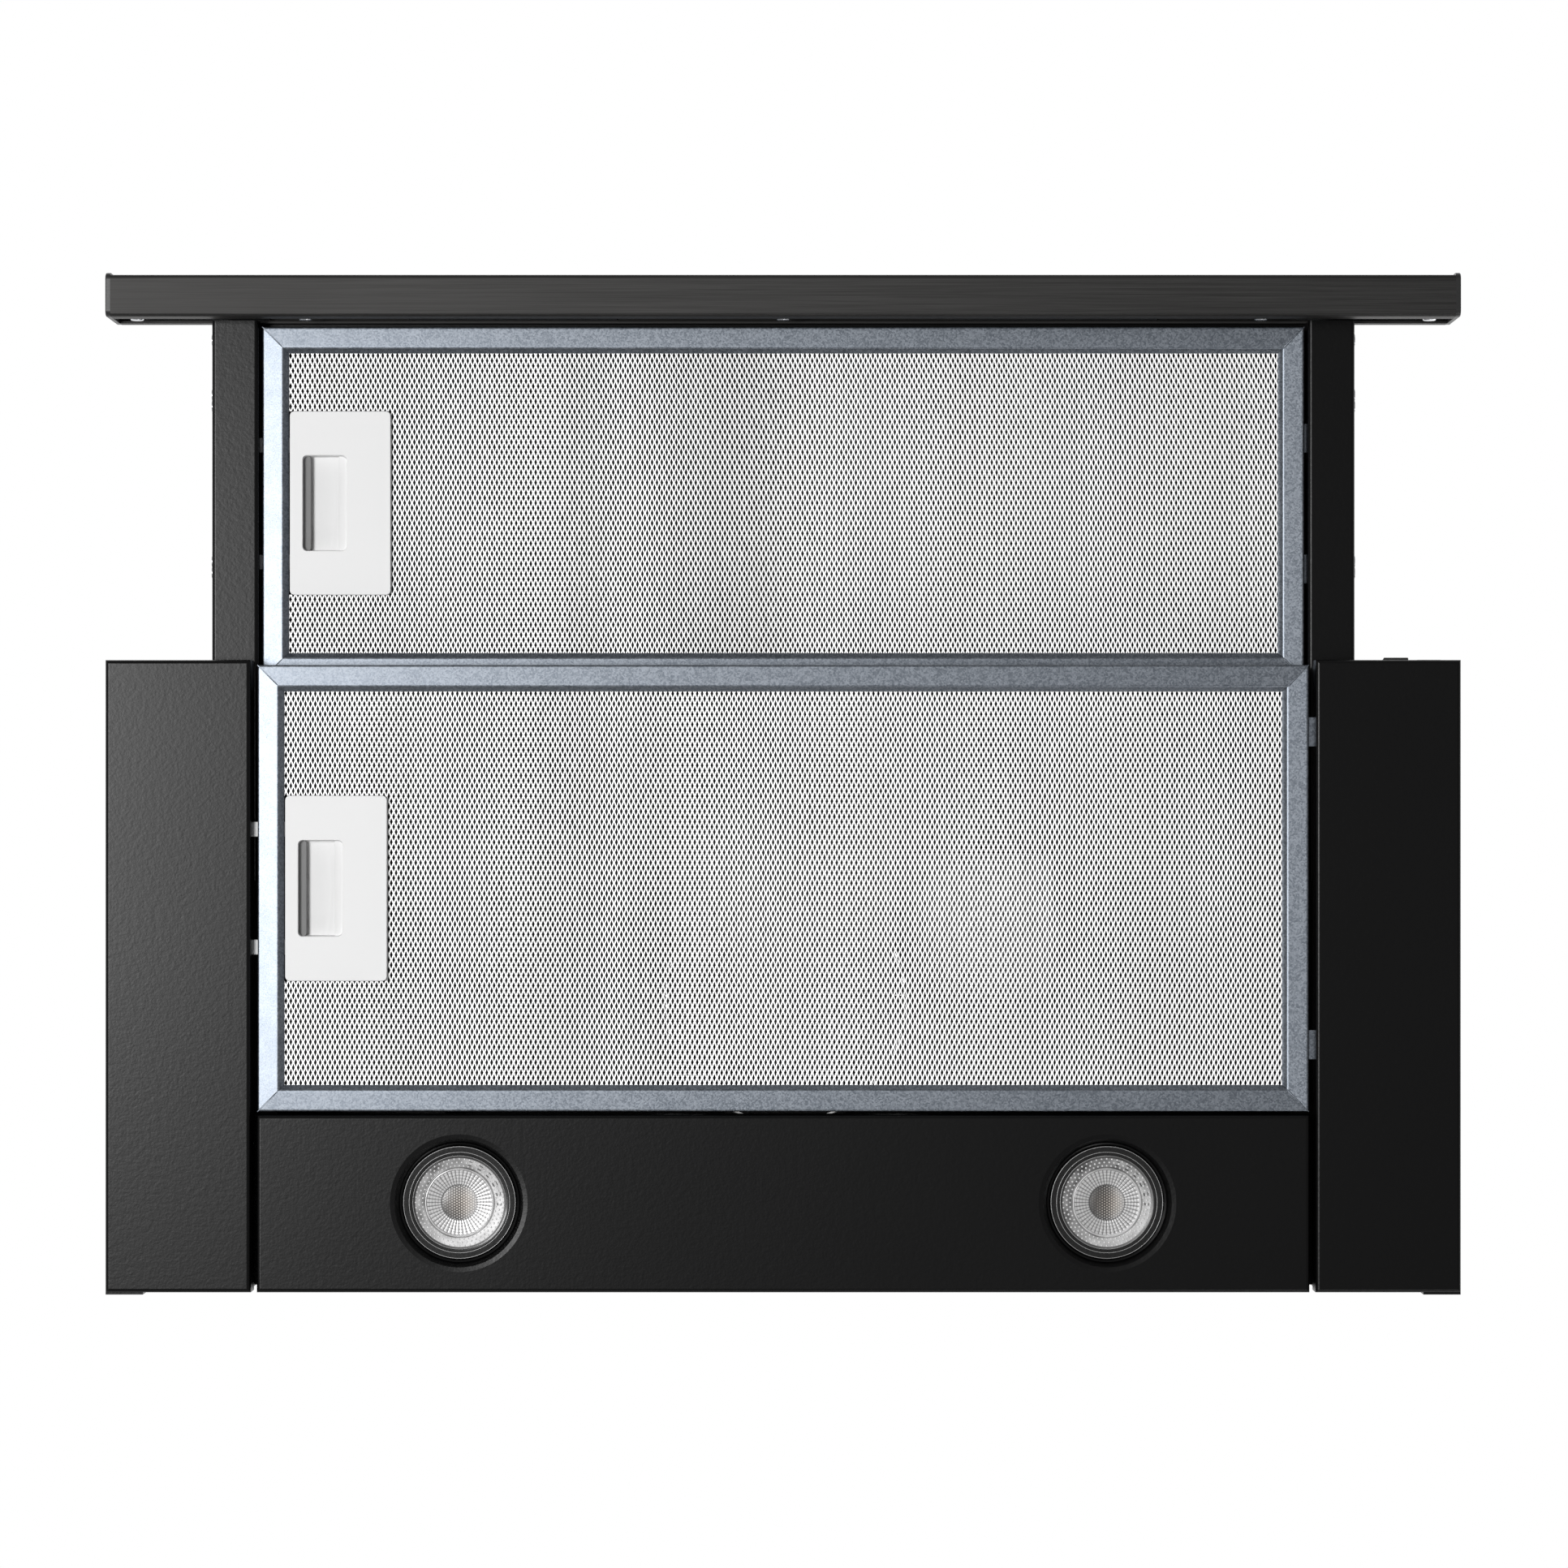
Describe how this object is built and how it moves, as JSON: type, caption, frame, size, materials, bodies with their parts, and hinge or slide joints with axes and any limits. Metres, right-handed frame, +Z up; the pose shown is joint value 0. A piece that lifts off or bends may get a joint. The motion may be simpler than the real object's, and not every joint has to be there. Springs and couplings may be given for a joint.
{
  "type": "built-in range hood",
  "caption": "Slide-out under-cabinet range hood with filter tray, removable grease filters, lamps, handle bar, fan casing and a round duct spigot with flaps.",
  "frame": {"origin": "middle of the footprint with the tray pulled out, on the flat underside", "axes": "+X to the right across the hood, -Y towards the handle bar, +Z up towards the duct"},
  "size_m": [0.6, 0.4524, 0.205],
  "materials": {
    "black_powder_coat": "fine-textured black powder coat",
    "black_brushed_steel": "brushed black stainless steel",
    "galvanised_steel": "galvanised sheet with a fine spangle",
    "expanded_aluminium": "bright expanded aluminium mesh",
    "zinc_steel": "zinc plated",
    "grey_plastic": "fine-textured light grey plastic",
    "black_plastic": "moulded black plastic",
    "lamp_glass": "clear moulded lens",
    "lamp_body": "metallised reflector body",
    "ceramic": "glazed ceramic",
    "motor_metal": "cast and plain metal",
    "grey_moulding": "moulded grey plastic"
  },
  "bodies": {
    "root": {"base_deck": "black_powder_coat", "wing_left": "black_powder_coat", "wing_right": "black_powder_coat", "lamp_panel": "black_powder_coat", "casing_wrap": "black_powder_coat", "casing_side_left": "black_powder_coat", "casing_side_right": "black_powder_coat", "casing_screws": "zinc_steel", "scroll_left": "grey_moulding", "scroll_right": "grey_moulding", "motor": "motor_metal", "motor_bracket": "galvanised_steel", "outlet_collar": "black_plastic", "damper_pin": "zinc_steel", "terminal_box": "black_plastic", "cable_gland": "black_plastic", "capacitor": "motor_metal", "switch_housing": "black_plastic", "guide_left": "galvanised_steel", "guide_right": "galvanised_steel", "roller_bracket_left": "galvanised_steel", "roller_bracket_right": "galvanised_steel", "lamp_body_left": "lamp_body", "lamp_body_right": "lamp_body", "lamp_lens_left": "lamp_glass", "lamp_lens_right": "lamp_glass", "lampholder_left": "ceramic", "lampholder_right": "ceramic", "lamp_bracket_left": "galvanised_steel", "lamp_bracket_right": "galvanised_steel"},
    "tray": {"tray_rail_left": "black_powder_coat", "tray_rail_right": "black_powder_coat", "tray_cover": "black_powder_coat", "tray_rear_brace": "galvanised_steel", "tray_front_plate": "galvanised_steel", "front_bar": "black_brushed_steel", "bar_cap_left": "black_plastic", "bar_cap_right": "black_plastic", "bar_screws": "zinc_steel", "rail_rivets": "zinc_steel", "front_filter_frame": "galvanised_steel", "front_filter_mesh": "expanded_aluminium", "front_latch_plate": "grey_plastic", "front_latch_spring": "grey_plastic"},
    "front_latch": {"front_latch_slider": "grey_plastic"},
    "rear_filter": {"rear_filter_frame": "galvanised_steel", "rear_filter_mesh": "expanded_aluminium", "rear_latch_plate": "grey_plastic", "rear_latch_spring": "grey_plastic"},
    "rear_latch": {"rear_latch_slider": "grey_plastic"},
    "fan_wheel": {"impeller": "grey_moulding", "motor_shaft": "zinc_steel"},
    "flap_front": {"damper_flap_front": "black_plastic"},
    "flap_rear": {"damper_flap_rear": "black_plastic"},
    "front_roller_left": {"front_roller_left": "grey_moulding"},
    "front_roller_right": {"front_roller_right": "grey_moulding"},
    "rear_roller_left": {"rear_roller_left": "grey_moulding"},
    "rear_roller_right": {"rear_roller_right": "grey_moulding"},
    "lamp_rocker": {"lamp_switch": "black_plastic"},
    "fan_rocker": {"fan_switch": "black_plastic"}
  },
  "joints": [
    {"name": "tray_slide", "type": "slide", "parent": "root", "child": "tray", "axis": [0, 1, 0], "range_m": [0, 0.15]},
    {"name": "rear_filter_swing", "type": "hinge", "parent": "root", "child": "rear_filter", "pos_m": [0.2362, 0.04635, 0.004], "axis": [0, -1, 0], "range_deg": [0, 35]},
    {"name": "rear_latch_slide", "type": "slide", "parent": "rear_filter", "child": "rear_latch", "axis": [1, 0, 0], "range_m": [0, 0.004], "stiffness_N_per_m": 300, "springref_m": -0.004, "deforming": ["rear_latch_spring"]},
    {"name": "front_latch_slide", "type": "slide", "parent": "tray", "child": "front_latch", "axis": [1, 0, 0], "range_m": [0, 0.004], "stiffness_N_per_m": 300, "springref_m": -0.004, "deforming": ["front_latch_spring"]},
    {"name": "fan_spin", "type": "hinge", "parent": "root", "child": "fan_wheel", "pos_m": [0, 0.06525, 0.108], "axis": [1, 0, 0], "continuous": true},
    {"name": "flap_rear_swing", "type": "hinge", "parent": "root", "child": "flap_rear", "pos_m": [0, 0.10275, 0.183], "axis": [1, 0, 0], "range_deg": [0, 70]},
    {"name": "flap_front_swing", "type": "hinge", "parent": "root", "child": "flap_front", "pos_m": [0, 0.10275, 0.183], "axis": [-1, 0, 0], "range_deg": [0, 70]},
    {"name": "lamp_rocker_tilt", "type": "hinge", "parent": "root", "child": "lamp_rocker", "pos_m": [0.2725, -0.04875, 0.02], "axis": [1, 0, 0], "range_deg": [0, 14]},
    {"name": "fan_rocker_tilt", "type": "hinge", "parent": "root", "child": "fan_rocker", "pos_m": [0.2871, -0.04875, 0.02], "axis": [1, 0, 0], "range_deg": [-7, 7]},
    {"name": "front_roller_left_turn", "type": "hinge", "parent": "root", "child": "front_roller_left", "pos_m": [-0.2455, -0.04475, 0.0112], "axis": [1, 0, 0], "continuous": true},
    {"name": "rear_roller_left_turn", "type": "hinge", "parent": "tray", "child": "rear_roller_left", "pos_m": [-0.2593, 0.03125, 0.02825], "axis": [1, 0, 0], "continuous": true},
    {"name": "front_roller_right_turn", "type": "hinge", "parent": "root", "child": "front_roller_right", "pos_m": [0.2455, -0.04475, 0.0112], "axis": [1, 0, 0], "continuous": true},
    {"name": "rear_roller_right_turn", "type": "hinge", "parent": "tray", "child": "rear_roller_right", "pos_m": [0.2593, 0.03125, 0.02825], "axis": [1, 0, 0], "continuous": true}
  ],
  "couplings": [
    {"joint": "front_roller_left_turn", "follows": "tray_slide", "rad_per_m": -142.86},
    {"joint": "rear_roller_left_turn", "follows": "tray_slide", "rad_per_m": 192.31},
    {"joint": "front_roller_right_turn", "follows": "tray_slide", "rad_per_m": -142.86},
    {"joint": "rear_roller_right_turn", "follows": "tray_slide", "rad_per_m": 192.31}
  ]
}
